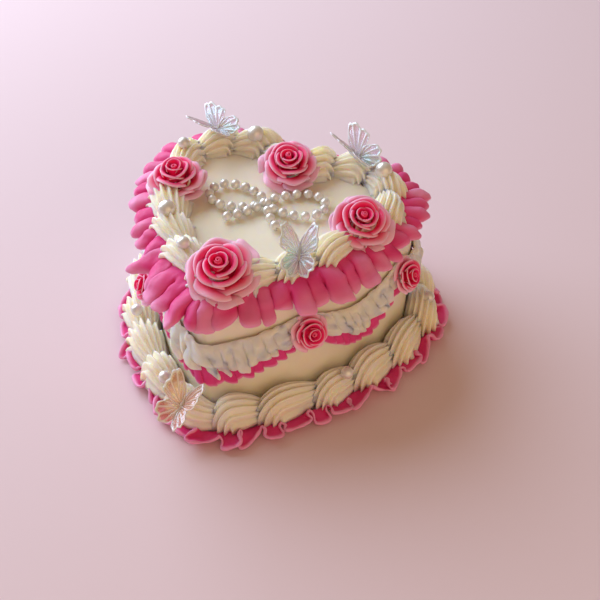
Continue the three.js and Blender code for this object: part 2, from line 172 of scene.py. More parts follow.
# A smooth random number about 0, for a place on a sheet
def ripple(along, across, layer):
    return noise.noise(Vector((along, across, layer)))


def blend(a, b, share):
    return a + (b - a) * share


def ease(share):
    share = min(1, max(0, share))
    return share * share * (3 - 2 * share)


# A value that changes round the heart. The table has pairs of a share of half the way from the
# tip, negative on the left, and the value there, and smooth steps join them.
def roundHeart(table, share):
    share = (share + 1) % 2 - 1
    for (first, low), (last, high) in zip(table, table[1:]):
        if share <= last:
            return blend(low, high, ease((share - first) / (last - first)))
    return table[-1][1]


# The heart's outline, as arcs that meet smoothly
heart = {
    "lobeX": 19.8,
    "lobeY": 19.2,
    "lobeRadius": 27.2,
    "tipY": -42.2,
    "tipRadius": 4,
    "sideRadius": 88,
    "notchRadius": 4,
    "wallHeight": 51,
}


def heartPath(offset, tipRadius=None, notchRadius=None):
    tipRadius = heart["tipRadius"] + offset if tipRadius is None else tipRadius
    notchRadius = heart["notchRadius"] if notchRadius is None else notchRadius
    tip = Vector((0, heart["tipY"]))
    lobe = Vector((heart["lobeX"], heart["lobeY"]))
    toTip = heart["sideRadius"] - heart["tipRadius"]
    toLobe = heart["sideRadius"] - heart["lobeRadius"]
    apart = (lobe - tip).length
    along = (toTip**2 - toLobe**2 + apart**2) / (2 * apart)
    aside = math.sqrt(toTip**2 - along**2)
    way = (lobe - tip) / apart
    side = tip + way * along + Vector((-way.y, way.x)) * aside
    sideRadius = heart["sideRadius"] + offset
    lobeRadius = heart["lobeRadius"] + offset
    tipY = side.y - math.sqrt((sideRadius - tipRadius) ** 2 - side.x**2)
    notchY = lobe.y + math.sqrt((lobeRadius + notchRadius) ** 2 - lobe.x**2)
    tipEnd = math.atan2(tipY - side.y, -side.x)
    sideEnd = math.atan2(lobe.y - side.y, lobe.x - side.x)
    notchStart = math.atan2(notchY - lobe.y, -lobe.x)
    right = [
        (0, tipY, tipRadius, -math.pi / 2, tipEnd),
        (side.x, side.y, sideRadius, tipEnd, sideEnd),
        (lobe.x, lobe.y, lobeRadius, sideEnd, notchStart),
        (0, notchY, notchRadius, notchStart - math.pi, -math.pi / 2),
    ]
    left = [(-x, y, r, math.pi - end, math.pi - start) for x, y, r, start, end in reversed(right)]
    arcs = right + left
    length = sum(abs(end - start) * r for x, y, r, start, end in arcs)
    return {"arcs": arcs, "length": length}


# The point at a distance round the path from the tip, anticlockwise, and the outward direction
def station(path, distance):
    distance %= path["length"]
    for x, y, r, start, end in path["arcs"]:
        length = abs(end - start) * r
        if distance <= length:
            break
        distance -= length
    clockwise = end < start
    angle = start + (-1 if clockwise else 1) * min(distance, length) / r
    ray = Vector((math.cos(angle), math.sin(angle)))
    return Vector((x, y)) + ray * r, -ray if clockwise else ray


def onPath(path, distance, reach, height):
    point, out = station(path, distance)
    return point.x + out.x * reach, point.y + out.y * reach, height


# Materials. An sRGB hex colour becomes linear here.
def linear(code):
    parts = [int(code[i : i + 2], 16) / 255 for i in (1, 3, 5)]
    return [c / 12.92 if c <= 0.04045 else ((c + 0.055) / 1.055) ** 2.4 for c in parts] + [1]


def setSockets(tree, node, values):
    for socket, value in values.items():
        if isinstance(value, bpy.types.NodeSocket):
            tree.links.new(value, node.inputs[socket])
        else:
            node.inputs[socket].default_value = value


def addNode(tree, kind, settings=None, inputs=None):
    node = tree.nodes.new(kind)
    for key, value in (settings or {}).items():
        setattr(node, key, value)
    setSockets(tree, node, inputs or {})
    return node


def newMaterial(name):
    material = bpy.data.materials.new(name)
    material.use_nodes = True
    tree = material.node_tree
    tree.nodes.clear()
    shader = addNode(tree, "ShaderNodeBsdfPrincipled")
    addNode(tree, "ShaderNodeOutputMaterial", inputs={"Surface": shader.outputs[0]})
    return material, tree, shader


def ramp(tree, factor, stops):
    node = addNode(tree, "ShaderNodeValToRGB", inputs={"Fac": factor})
    for i, (place, colour) in enumerate(stops):
        element = node.color_ramp.elements[i] if i < 2 else node.color_ramp.elements.new(place)
        element.position = place
        element.color = linear(colour)
    return node.outputs["Color"]


def colourMix(tree, factor, first, second):
    inputs = {0: factor, 6: first, 7: second}
    return addNode(tree, "ShaderNodeMix", {"data_type": "RGBA"}, inputs).outputs[2]


def noiseOf(tree, coordinate, size, detail=3.0, rough=0.5):
    inputs = {"Vector": coordinate, "Scale": 1 / (size * mm), "Detail": detail, "Roughness": rough}
    return addNode(tree, "ShaderNodeTexNoise", inputs=inputs).outputs["Fac"]


# Buttercream: fat and sugar, matt with a soft greasy sheen, light passes a little way in.
# The surface has fine air bubbles and drag marks of the nozzle, drawn as coarse as they need
# to show. Patch, grain, bubble and glow are sizes in mm.
def buttercream(name, values):
    material, tree, shader = newMaterial(name)
    place = addNode(tree, "ShaderNodeTexCoord").outputs["Object"]
    cloud = noiseOf(tree, place, values["patch"])
    body = ramp(tree, cloud, [(0.32, values["shade"]), (0.68, values["colour"])])
    # A rim colour, where given, is mixed in by the rim attribute: on the pink icing it is a painted
    # highlight, on the roses the petals' own pale rims.
    if "rim" in values:
        rim = addNode(tree, "ShaderNodeAttribute", {"attribute_name": "rim"}).outputs["Fac"]
        share = addNode(
            tree,
            "ShaderNodeMapRange",
            {"interpolation_type": "SMOOTHSTEP"},
            {"Value": rim, "From Min": values["rimFrom"], "To Max": values["rimShare"]},
        )
        body = colourMix(tree, share.outputs[0], body, linear(values["rim"]))
    grain = noiseOf(tree, place, values["grain"], 4.0, 0.6)
    bubbles = noiseOf(tree, place, values["bubble"], 1.0)
    inputs = {0: grain, 1: 0.7, 2: bubbles}
    heights = addNode(tree, "ShaderNodeMath", {"operation": "MULTIPLY_ADD"}, inputs)
    inputs = {"Strength": values["bump"], "Distance": 0.25 * mm, "Height": heights.outputs[0]}
    bump = addNode(tree, "ShaderNodeBump", inputs=inputs)
    inputs = {"Value": grain, "To Min": values["rough"] - 0.08, "To Max": values["rough"] + 0.08}
    roughness = addNode(tree, "ShaderNodeMapRange", inputs=inputs)
    setSockets(
        tree,
        shader,
        {
            "Base Color": body,
            "Normal": bump.outputs[0],
            "Roughness": roughness.outputs[0],
            "IOR": 1.45,
            "Specular IOR Level": values["gloss"],
            "Subsurface Weight": values["depth"],
            "Subsurface Radius": values["spread"],
            "Subsurface Scale": values["glow"] * mm,
        },
    )
    return material


# The piped ivory is a little whiter than the spread ivory of the same buttercream: a painted lift of
# light on the piped shells and swags.
pipedIvory = {
    "colour": "#faf5ec",
    "shade": "#f6ecd9",
    "patch": 14,
    "grain": 0.9,
    "bubble": 2.6,
    "bump": 0.35,
    "rough": 0.5,
    "gloss": 0.35,
    "depth": 0.8,
    "glow": 3.6,
    "spread": (1.0, 0.72, 0.3),
}
spreadIvory = pipedIvory | {
    "colour": "#f4eee1",
    "shade": "#f1e8d3",
    "patch": 22,
    "grain": 1.6,
    "bubble": 7,
    "bump": 0.22,
}
ivoryIcing = buttercream("ivoryButtercreamPiped", pipedIvory)
ivorySmooth = buttercream("ivoryButtercreamSpread", spreadIvory)
# The pink icing's rim colour is a painted highlight: pale lilac at the hems of the pink ribbons and
# on the raised folds of the top frill.
pinkIcing = buttercream(
    "pinkButtercreamPiped",
    {
        "colour": "#e84692",
        "shade": "#dc3482",
        "rim": "#f8b4e0",
        "rimFrom": 0.78,
        "rimShare": 0.7,
        "patch": 10,
        "grain": 0.8,
        "bubble": 2.2,
        "bump": 0.4,
        "rough": 0.52,
        "gloss": 0.3,
        "depth": 0.25,
        "glow": 2.4,
        "spread": (1.0, 0.35, 0.5),
    },
)
roseIcing = buttercream(
    "rosePinkIcingMoulded",
    {
        "colour": "#fd2a7e",
        "shade": "#f81c70",
        "rim": "#fecde8",
        "rimFrom": 0.0,
        "rimShare": 0.95,
        "patch": 9,
        "grain": 0.7,
        "bubble": 3,
        "bump": 0.15,
        "rough": 0.42,
        "gloss": 0.4,
        "depth": 0.45,
        "glow": 1.4,
        "spread": (1.0, 0.35, 0.55),
    },
)


# Pearls: plastic beads under a pearl lacquer, white with a silver sheen and a clear coat
def pearlLacquer():
    material, tree, shader = newMaterial("pearlLacquerOnPlastic")
    place = addNode(tree, "ShaderNodeTexCoord").outputs["Object"]
    cloud = noiseOf(tree, place, 6)
    body = ramp(tree, cloud, [(0.3, "#dcdad9"), (0.7, "#f3f1ee")])
    setSockets(tree, shader, {"Base Color": body, "Metallic": 0.3, "Roughness": 0.3})
    setSockets(tree, shader, {"Coat Weight": 0.8, "Coat Roughness": 0.08, "Coat IOR": 1.6})
    return material


# Butterflies: clear moulded plastic under an iridescent film, so the hue shifts over a wing. The
# raised lines are thicker and catch the light; their white is a painted highlight, mixed in by
# the rim attribute.
def clearFilm(name, tints, edge):
    material, tree, shader = newMaterial(name)
    place = addNode(tree, "ShaderNodeTexCoord").outputs["Object"]
    cloud = noiseOf(tree, place, 7, 2.0)
    tint = ramp(tree, cloud, list(zip((0.3, 0.5, 0.7), tints)))
    line = addNode(tree, "ShaderNodeAttribute", {"attribute_name": "rim"}).outputs["Fac"]
    body = colourMix(tree, line, tint, linear(edge))
    span = {"Value": line, "To Min": 0.62, "To Max": 1.0}
    alpha = addNode(tree, "ShaderNodeMapRange", inputs=span).outputs[0]
    span = {"Value": line, "To Min": 0.55, "To Max": 0.1}
    through = addNode(tree, "ShaderNodeMapRange", inputs=span).outputs[0]
    setSockets(tree, shader, {"Base Color": body, "Alpha": alpha, "Transmission Weight": through})
    setSockets(tree, shader, {"Roughness": 0.12, "IOR": 1.5})
    setSockets(tree, shader, {"Coat Weight": 1.0, "Coat Roughness": 0.05})
    setSockets(tree, shader, {"Thin Film Thickness": 380, "Thin Film IOR": 1.7})
    return material


pearlFinish = pearlLacquer()
coolFilm = clearFilm("clearPlasticIridescentCool", ("#ffd2de", "#ece4ff", "#c4f2fa"), "#f7f8fb")
peachFilm = clearFilm("clearPlasticIridescentPeach", ("#ffae88", "#ffcaa6", "#f9bfae"), "#fbf3ea")
print("materials done")


# The cake's body: spread icing on a heart prism, a soft top edge, faint waves of the palette knife
bodyValues = {
    "outline": 260,
    "edge": 2.6,
    "edgeSteps": 5,
    "voxel": 1.35,
    "smoothing": 0.6,
    "waves": 16,
    "waveHeight": 0.35,
}


def modelBody():
    values = bodyValues
    path = heartPath(0)
    deselectAll()
    count = values["outline"]
    bpy.ops.mesh.primitive_circle_add(vertices=count, radius=1, fill_type="NGON")
    body = bpy.context.object
    body.name = "cakeBody"
    for i, vertex in enumerate(body.data.vertices):
        vertex.co = Vector(onPath(path, path["length"] * i / count, 0, 0)) * mm
    editAll()
    extrude(0, 0, heart["wallHeight"] * mm)
    bpy.ops.mesh.region_to_loop()
    bpy.ops.mesh.bevel(offset=values["edge"] * mm, segments=values["edgeSteps"], affect="EDGES")
    leaveEdit()
    outwards(body)
    addModifier(body, "REMESH", mode="VOXEL", voxel_size=values["voxel"] * mm)
    addModifier(body, "SMOOTH", factor=values["smoothing"], iterations=4)
    applyModifiers(body)
    roughen(body, values["waves"], values["waveHeight"])
    for vertex in body.data.vertices:
        vertex.co.z = max(vertex.co.z, 0)
    finishPiece(body, ivorySmooth, "ivory_icing", "cake_body")


modelBody()
print("body done")


# Piped shells: a star tip gives each one ribs. They fan out over its round head, end there as
# teeth, and draw together along its tail, which the next head covers.
shellValues = {
    "ribs": 8,
    "rib": 0.16,
    "ribRound": 1.3,
    "edge": 0.03,
    "fan": 0.06,
    "tooth": 0.05,
    "middle": 0.3,
    "front": 0.42,
    "tail": 1.3,
    "tailSize": 0.36,
    "body": 0.55,
    "rows": 14,
    "columns": 5,
    "hem": 0.15,
    "lean": 0.12,
    "slantUneven": 0.4,
    "grain": (2.6, 0.22),
}


# A point of a shell one pitch long, one half width across and one high
def shellPoint(u, w):
    values = shellValues
    across = math.pi * blend(values["edge"], 1 - values["edge"], u)
    crest = 2 * abs(math.cos(math.pi * values["ribs"] * u)) ** values["ribRound"] - 1
    side, up = math.cos(across), math.sin(across)
    if w < values["body"]:
        share = w / values["body"]
        size = blend(values["tailSize"], 1, ease(share) ** 0.85)
        grown = size * (1 + values["rib"] * crest)
        return Vector((blend(values["tail"], values["middle"], share), side * grown, up * grown))
    bend = math.pi / 2 * (w - values["body"]) / (1 - values["body"])
    grown = 1 + values["rib"] * crest * (1 + 0.5 * math.sin(bend))
    ahead = values["front"] * up * math.sin(bend) * grown
    lifted = up * math.cos(bend) * grown + values["tooth"] * (1 - crest) * math.sin(bend) ** 4
    aside = side * grown * (1 + values["fan"] * math.sin(bend))
    return Vector((values["middle"] - ahead, aside, lifted))


def modelShell():
    values = shellValues
    shell = sheet("shell", values["ribs"] * values["columns"], values["rows"], shellPoint)
    shell.data.transform(Matrix.Scale(1 / mm, 4))
    smoothed(shell)
    pick(shell)
    editAll()
    bpy.ops.mesh.region_to_loop()
    extrude(0, 0, -values["hem"])
    bpy.ops.mesh.edge_face_add()
    leaveEdit()
    outwards(shell)
    return shell


def shellBorder(name, node, values):
    shell = modelShell()
    path = heartPath(values["offset"], values.get("tipRadius"), values.get("notchRadius"))
    heads = [path["length"] * share for share in values["heads"]]
    shells = []
    for i, head in enumerate(heads):
        nextHead = heads[(i + 1) % len(heads)] + (path["length"] if i + 1 == len(heads) else 0)
        pitch = nextHead - head
        seed = values["seed"] + 10 * i
        girth = 1 + values["uneven"] * uneven(seed)
        tall = values["height"] * girth * (1 + values["uneven"] * uneven(seed + 1))
        slant = values["slant"] * (1 + shellValues["slantUneven"] * uneven(seed + 2))
        turned = shellValues["lean"] * uneven(seed + 3)
        outer = roundHeart(values["outer"], 2 * (head + 0.4 * pitch) / path["length"])
        half = (outer - values["inner"]) / 2 * girth
        centre = (outer + values["inner"]) / 2 - values["offset"]
        double = copyOf(shell)
        for vertex in double.data.vertices:
            x, y, z = vertex.co
            y, z = y + turned * z, z - turned * y * 0.5
            reach = centre + y * half + slant * (shellValues["body"] - x)
            height = values["floor"] + z * tall
            vertex.co = Vector(onPath(path, head + x * pitch, reach, height)) * mm
        shells.append(double)
    remove(shell)
    border = joined(name, shells)
    roughen(border, *shellValues["grain"])
    finishPiece(border, ivoryIcing, "ivory_icing", node)


# Where the heads start, as shares of the way round, nearly one pitch apart
def evenHeads(count, first, wander, seed):
    return [(i + first + wander * uneven(seed + i)) / count for i in range(count)]


baseBorder = {
    "offset": 6.0,
    "notchRadius": 7.6,
    "inner": 0.2,
    "outer": [
        (-1, 11.8), (-0.35, 12.6), (-0.15, 11.6), (-0.04, 9.6), (0.2, 9.0), (0.35, 10.2),
        (0.6, 11.2), (1, 11.8),
    ],
    "height": 10.9,
    "floor": 2.8,
    "slant": 2.0,
    "uneven": 0.06,
    "seed": 11,
    "heads": evenHeads(19, 0.3, 0.08, 0),
}
topBorder = {
    "offset": -8.4,
    "tipRadius": 8,
    "notchRadius": 12.4,
    "inner": -14.2,
    "outer": [
        (-1, -2.6), (-0.5, -2.0), (-0.1, -1.4), (0.0, -2.8), (0.3, -3.2), (0.7, -2.8), (1, -2.6),
    ],
    "height": 8.2,
    "floor": 50.6,
    "slant": 2.2,
    "uneven": 0.06,
    "seed": 401,
    "heads": evenHeads(17, 0.55, 0.08, 30),
}

shellBorder("baseShells", "base_shells", baseBorder)
shellBorder("topShells", "top_shells", topBorder)
print("shell borders done")


# Piped ribbons: how uneven their folds are, and the size and height of each grain of their icing
ribbonValues = {
    "pitchUneven": 0.3,
    "depthUneven": 0.28,
    "lastFold": 0.4,
    "grains": [(3.2, 0.4), (1.3, 0.16)],
}
# Folds of a piped ribbon, seen from above: how far along its own length each one has come and how
# far out it stands. A pillow is round, a tile lies over the next one, a curl closes on itself.
foldShapes = {
    "pillow": [
        (0, 0), (0.05, 0.32), (0.1, 0.66), (0.26, 0.93), (0.5, 1), (0.74, 0.93), (0.9, 0.66),
        (0.95, 0.32), (1, 0),
    ],
    "tile": [
        (0, 0), (0.14, 0.26), (0.45, 0.6), (0.8, 0.88), (1.06, 1), (1.19, 0.84), (1.1, 0.5),
        (0.97, 0.2), (1, 0),
    ],
    "curl": [
        (0, 0), (0.13, 0.34), (0.03, 0.76), (0.2, 0.98), (0.5, 1), (0.8, 0.98), (0.97, 0.76),
        (0.87, 0.34), (1, 0),
    ],
}


# A smooth curve through a list of points, at a share of its way
def curveAt(points, share):
    count = len(points) - 1
    place = min(share, 1 - 1e-9) * count
    i = int(place)
    t = place - i
    a, b = points[i], points[i + 1]
    before = points[i - 1] if i else [2 * a[k] - b[k] for k in (0, 1)]
    after = points[i + 2] if i + 2 <= count else [2 * b[k] - a[k] for k in (0, 1)]
    return [
        0.5
        * (
            2 * a[k]
            + (b[k] - before[k]) * t
            + (2 * before[k] - 5 * a[k] + 4 * b[k] - after[k]) * t * t
            + (3 * a[k] - before[k] - 3 * b[k] + after[k]) * t**3
        )
        for k in (0, 1)
    ]


# Folds one after the other over a length: a place, a pitch, a form, its side and its strength
def foldsAlong(length, pitchAt, shapeAt, seed):
    values = ribbonValues
    folds = []
    place = 0
    while place < length - values["lastFold"] * pitchAt(place / length):
        n = seed + 5 * len(folds)
        pitch = pitchAt(place / length) * (1 + values["pitchUneven"] * uneven(n))
        shape, mirrored = shapeAt(place / length, uneven(n + 1))
        strength = 1 + values["depthUneven"] * uneven(n + 2)
        folds.append((place, pitch, foldShapes[shape], mirrored, strength))
        place += pitch
    fit = length / place
    return [(place * fit, pitch * fit, *rest) for place, pitch, *rest in folds]


def foldAt(folds, share):
    place = min(share * len(folds), len(folds) - 1e-9)
    start, pitch, shape, mirrored, strength = folds[int(place)]
    t = place % 1
    along, out = curveAt(shape, 1 - t if mirrored else t)
    if mirrored:
        along = 1 - along
    return start + t * pitch, start + along * pitch, out * strength


def finishRibbon(ribbon, thick, node):
    addModifier(ribbon, "SOLIDIFY", thickness=thick * mm, offset=0)
    smoothed(ribbon)
    for size, height in ribbonValues["grains"]:
        roughen(ribbon, size, height)
    if node.startswith("cream"):
        finishPiece(ribbon, ivoryIcing, "ivory_icing", node)
    else:
        finishPiece(ribbon, pinkIcing, "pink_icing", node)


# The frill on the floor: a ribbon whose edge stands a little up and curls in between its folds
baseFrillValues = {
    "offset": 8,
    "notch": 1.5,
    "inner": 8.0,
    "outer": [
        (-1, 15.1), (-0.5, 15.4), (-0.27, 16.6), (-0.16, 15.2), (-0.1, 16.0), (0.0, 14.8),
        (0.05, 17.4), (0.1, 15.9), (0.19, 15.0), (0.27, 15.4), (0.39, 17.8), (0.45, 16.8),
        (0.5, 17.4), (0.63, 14.9), (1, 15.1),
    ],
    "depth": 5.0,
    "pitch": 8.2,
    "rise": 1.5,
    "root": 1.3,
    "edge": 3.0,
    "wave": 1.2,
    "waves": 29,
    "lowest": 0.55,
    "thick": 1.0,
    "columns": 18,
    "across": 6,
    "seed": 3,
}


def baseFrillRule(path, folds):
    values = baseFrillValues

    def rule(u, w):
        flat, folded, out = foldAt(folds, u)
        share = 2 * flat / path["length"]
        growth = ease(w * 1.05)
        rimReach = roundHeart(values["outer"], share) - values["depth"] * (1 - out)
        reach = blend(values["inner"], rimReach, w) - values["offset"]
        rimHeight = values["edge"] + values["rise"] * (1 - out)
        rimHeight += values["wave"] * math.sin(turn * values["waves"] * u)
        height = blend(values["root"], max(values["lowest"], rimHeight), w * w)
        return onPath(path, blend(flat, folded, growth), reach, height)

    return rule


def baseFrillPitch(share):
    return baseFrillValues["pitch"]


def baseFrillShape(share, chance):
    return "curl" if chance > -0.1 else "tile", chance < -0.5


def modelFrill(name, node, values, ruleFor, pitchAt, shapeAt):
    path = heartPath(values["offset"], notchRadius=values["offset"] + values["notch"])
    folds = foldsAlong(path["length"], pitchAt, shapeAt, values["seed"])
    rule = ruleFor(path, folds)
    ribbon = sheet(name, values["columns"] * len(folds), values["across"], rule, closed=True)
    finishRibbon(ribbon, values["thick"], node)
    for vertex in ribbon.data.vertices:
        vertex.co.z = max(vertex.co.z, 0)


modelFrill(
    "baseFrill", "base_frill", baseFrillValues, baseFrillRule, baseFrillPitch, baseFrillShape
)


# The frill that lies over the top edge and hangs down: round folds on the left lobe, folds like
# tiles on the right one, looser and lower ones round the tip. A profile is a list of shares of
# the reach and heights, from under the shells to the lip. Raised folds get a painted highlight,
# in patches, through the rim attribute.
topFrillValues = {
    "offset": 3.4,
    "notch": 1.8,
    "root": -6.5,
    "outer": [
        (-1, 5.6), (-0.75, 6.4), (-0.4, 6.8), (-0.3, 6.0), (-0.2, 6.2), (-0.13, 8.4),
        (-0.06, 8.6), (0.0, 7.0), (0.06, 4.4), (0.12, 4.0), (0.3, 4.8), (0.5, 4.8),
        (0.65, 5.6), (0.75, 6.6), (1, 5.6),
    ],
    "profile": {
        "lobe": [(0, 51.2), (0.3, 51.7), (0.62, 51.3), (0.88, 50.0), (1, 47.6)],
        "tip": [(0, 51.2), (0.3, 52.2), (0.6, 51.4), (0.84, 48.8), (1, 45.4)],
    },
    "depth": {"tip": 4.8, "lobe": 6.2},
    "pitch": {"tip": 6.0, "lobe": 6.6},
    "sink": {"tip": 1.0, "lobe": 3.0},
    "tipEnd": {"share": 0.17, "fade": 0.08, "left": 0.07},
    "hem": 1.5,
    "crumple": 2.2,
    "crease": 3.4,
    "lip": 1.9,
    # pale: the painted highlight on raised folds, from where on the rim scale, how strong, above what
    # fold height and how patchy
    "pale": {"start": 0.78, "strength": 0.15, "above": 0.4, "patch": 1.6},
    "thick": 1.2,
    "columns": 12,
    "across": 9,
    "seed": 17,
}


# 1 round the tip, 0 on the lobes; the tip's stretch ends sooner on the left
def nearTip(share):
    values = topFrillValues["tipEnd"]
    away = min(share % 1, 1 + values["left"] - share % 1)
    return 1 - ease((away - values["share"]) / values["fade"])


def topFrillPitch(share):
    pitch = topFrillValues["pitch"]
    return blend(pitch["lobe"], pitch["tip"], nearTip(share))


def topFrillShape(share, chance):
    if nearTip(share) > 0.5:
        return "tile" if chance > 0.4 else "curl", chance > 0.7
    return ("tile", False) if share < 0.5 else ("pillow", False)


def topFrillRule(path, folds):
    values = topFrillValues

    def rule(u, w):
        flat, folded, out = foldAt(folds, u)
        share = flat / path["length"]
        tip = nearTip(share)
        far, high = curveAt(values["profile"]["lobe"], w)
        tipFar, tipHigh = curveAt(values["profile"]["tip"], w)
        far, high = blend(far, tipFar, tip), blend(high, tipHigh, tip)
        growth = blend(ease((w - 0.05) / 0.6), ease(0.12 + 0.88 * w), tip)
        depth = blend(values["depth"]["lobe"], values["depth"]["tip"], tip)
        reach = blend(values["root"], roundHeart(values["outer"], 2 * share), far)
        reach -= depth * growth * (1 - out) * (0.35 + 0.65 * w)
        crease = max(0, 1 - out) ** 1.3
        sink = blend(values["sink"]["lobe"], values["sink"]["tip"], tip)
        height = high - sink * crease * math.sin(math.pi * min(1, 0.15 + 0.85 * w)) * growth
        height += values["hem"] * tip * crease * w**4
        crumple = values["crumple"] * tip * w * w
        height += crumple * ripple(0.17 * flat, 1.1 * w, 3)
        reach += 0.8 * crumple * ripple(0.23 * flat, 1.9 * w, 9)
        wrinkle = values["crease"] * ease(2.5 * w) * blend(0.3, 1, tip)
        reach += wrinkle * ripple(0.24 * flat + 0.8 * w, 3.4 * w, 21)
        reach += values["lip"] * tip * ease((w - 0.78) / 0.22)
        x, y, z = onPath(path, blend(flat, folded, growth), reach - values["offset"], height)
        # Painted highlight: the rim attribute is raised on the crests of the folds, in patches, so
        # the pink icing paints them paler.
        pale = values["pale"]
        patch = 1 + pale["patch"] * ripple(0.12 * flat, 1.3 * w, 40)
        raised = pale["start"] + pale["strength"] * (out - pale["above"]) * ease(2 * w) * patch
        return x, y, z, max(w, raised)

    return rule


modelFrill("topFrill", "top_frill", topFrillValues, topFrillRule, topFrillPitch, topFrillShape)
print("frills done")


# The swags on the wall: a rippled ivory ribbon with a rolled upper edge, over a pleated pink band
swagValues = {
    "junctions": [0.226, 0.51, 0.76, 1],
    "notchEnd": 0.962,
    "endGap": 2.4,
    "height": 36.8,
    "dip": 7.2,
    "nearest": 0.35,
    "cream": {
        "high": 11.4,
        "low": 7.2,
        "reach": 4.1,
        "depth": 1.5,
        "pitch": 3.9,
        "slant": 3.0,
        "crease": 2.2,
        "jagged": 3.4,
        "roll": 0.7,
        "thick": 0.8,
        "columns": 12,
        "across": 9,
    },
    "pink": {
        "high": 6.6,
        "low": 4.0,
        "reach": 2.6,
        "depth": 1.3,
        "pitch": 3.5,
        "slant": 0.9,
        "thick": 0.95,
        "columns": 8,
        "across": 6,
    },
}


def swagHang(u):
    hang = 1 - (2 * u - 1) ** 2
    tall = blend(swagValues["cream"]["low"], swagValues["cream"]["high"], hang)
    middle = swagValues["height"] - swagValues["dip"] * hang
    return hang, middle + tall / 2, middle - tall / 2


def creamRule(path, start, length, folds):
    values = swagValues["cream"]

    def rule(u, w):
        flat, folded, out = foldAt(folds, u)
        hang, top, bottom = swagHang(flat / length)
        growth = ease(0.1 + w)
        roll = values["roll"] * math.exp(-(((w - 0.08) / 0.1) ** 2))
        swell = math.sin(math.pi * (0.05 + 0.59 * w))
        reach = blend(1.6, values["reach"], hang) * swell + roll
        along = start + flat
        crease = 0.5 - 2 * abs(ripple(0.22 * along + 0.9 * w, 3.6 * w, 5))
        reach += values["crease"] * (0.35 + w) * crease - values["depth"] * growth * (1 - out)
        reach = max(swagValues["nearest"], reach)
        height = blend(top, bottom - 0.6, w) + 1.1 * w * w * (1 - out)
        height += values["jagged"] * w * w * ripple(0.36 * along, 7, 5)
        shift = values["slant"] * (w - 0.5) * hang
        return onPath(path, start + blend(flat, folded, growth) + shift, reach, height)

    return rule


def pinkRule(path, start, length, folds):
    values = swagValues["pink"]

    def rule(u, w):
        flat, folded, out = foldAt(folds, u)
        hang, top, bottom = swagHang(flat / length)
        tall = blend(values["low"], values["high"], hang)
        depth = 0.5 + 0.5 * w
        reach = values["reach"] * (0.62 + 0.38 * w) - values["depth"] * depth * (1 - out)
        reach = max(swagValues["nearest"], reach)
        height = blend(bottom + 1.8, bottom - tall, w) + 0.6 * w * (1 - out)
        shift = values["slant"] * (w - 0.5)
        return onPath(path, start + blend(flat, folded, depth) + shift, reach, height)

    return rule


def swagFold(kind, chance):
    curls = kind == "cream" and chance < -0.4
    return "curl" if curls else "tile", chance > 0.5


# One swag round the tip, then three on each side up to the notch
def modelSwags():
    path = heartPath(0)
    half = path["length"] / 2
    joints = swagValues["junctions"]
    spans = [(-joints[0], joints[0])]
    for first, last in zip(joints, joints[1:]):
        last = min(last, swagValues["notchEnd"])
        spans += [(first, last), (-last, -first)]
    for i, (first, last) in enumerate(spans):
        start = first * half + swagValues["endGap"]
        length = last * half - swagValues["endGap"] - start
        for kind, ruleFor in (("cream", creamRule), ("pink", pinkRule)):
            values = swagValues[kind]
            folds = foldsAlong(
                length,
                lambda share: values["pitch"],
                lambda share, chance: swagFold(kind, chance),
                1000 * i,
            )
            rule = ruleFor(path, start, length, folds)
            name = f"{kind}Swag{i + 1}"
            ribbon = sheet(name, values["columns"] * len(folds), values["across"], rule)
            finishRibbon(ribbon, values["thick"], f"{kind}_swag_{i + 1}")


modelSwags()
print("swags done")


# Roses: wide thin petals that overlap round a wound bud. Each whorl gives its petals' count, the
# radius and height of their foot and rim, their width, how far the rim rolls out and how pale
# they are.
largeRose = {
    "whorls": [
        {"count": 6, "foot": (5.0, 0.3), "rim": (10.2, 2.4), "width": 1.25, "roll": 0.8, "pale": 0.9},
        {"count": 5, "foot": (4.6, 1.6), "rim": (8.6, 5.0), "width": 1.4, "roll": 1.0, "pale": 0.4},
        {"count": 4, "foot": (3.8, 2.6), "rim": (6.4, 7.4), "width": 1.5, "roll": 0.9, "pale": 0.12},
        {"count": 3, "foot": (2.7, 3.6), "rim": (4.3, 8.9), "width": 1.6, "roll": 0.7, "pale": 0.05},
        {"count": 2, "foot": (1.5, 4.6), "rim": (2.5, 9.7), "width": 1.6, "roll": 0.35, "pale": 0.0},
    ],
    "bud": {"radius": 1.25, "height": 9.9, "turns": 1.6},
    "thick": 0.5,
    "core": (5.8, 6.4),
    "fine": 14,
}
smallRose = {
    "whorls": [
        {"count": 5, "foot": (2.9, 0.2), "rim": (6.3, 1.9), "width": 1.3, "roll": 0.4, "pale": 0.8},
        {"count": 4, "foot": (2.4, 1.0), "rim": (5.0, 4.0), "width": 1.4, "roll": 0.4, "pale": 0.2},
        {"count": 3, "foot": (1.7, 1.8), "rim": (3.6, 5.2), "width": 1.5, "roll": 0.25, "pale": 0.04},
        {"count": 2, "foot": (1.0, 2.6), "rim": (2.1, 5.9), "width": 1.5, "roll": 0.2, "pale": 0.0},
    ],
    "bud": {"radius": 1.0, "height": 6.0, "turns": 1.5},
    "thick": 0.42,
    "core": (3.7, 3.6),
    "fine": 9,
}
petalUneven = {"width": 0.12, "place": 0.14, "rise": 0.08, "spread": 0.06}


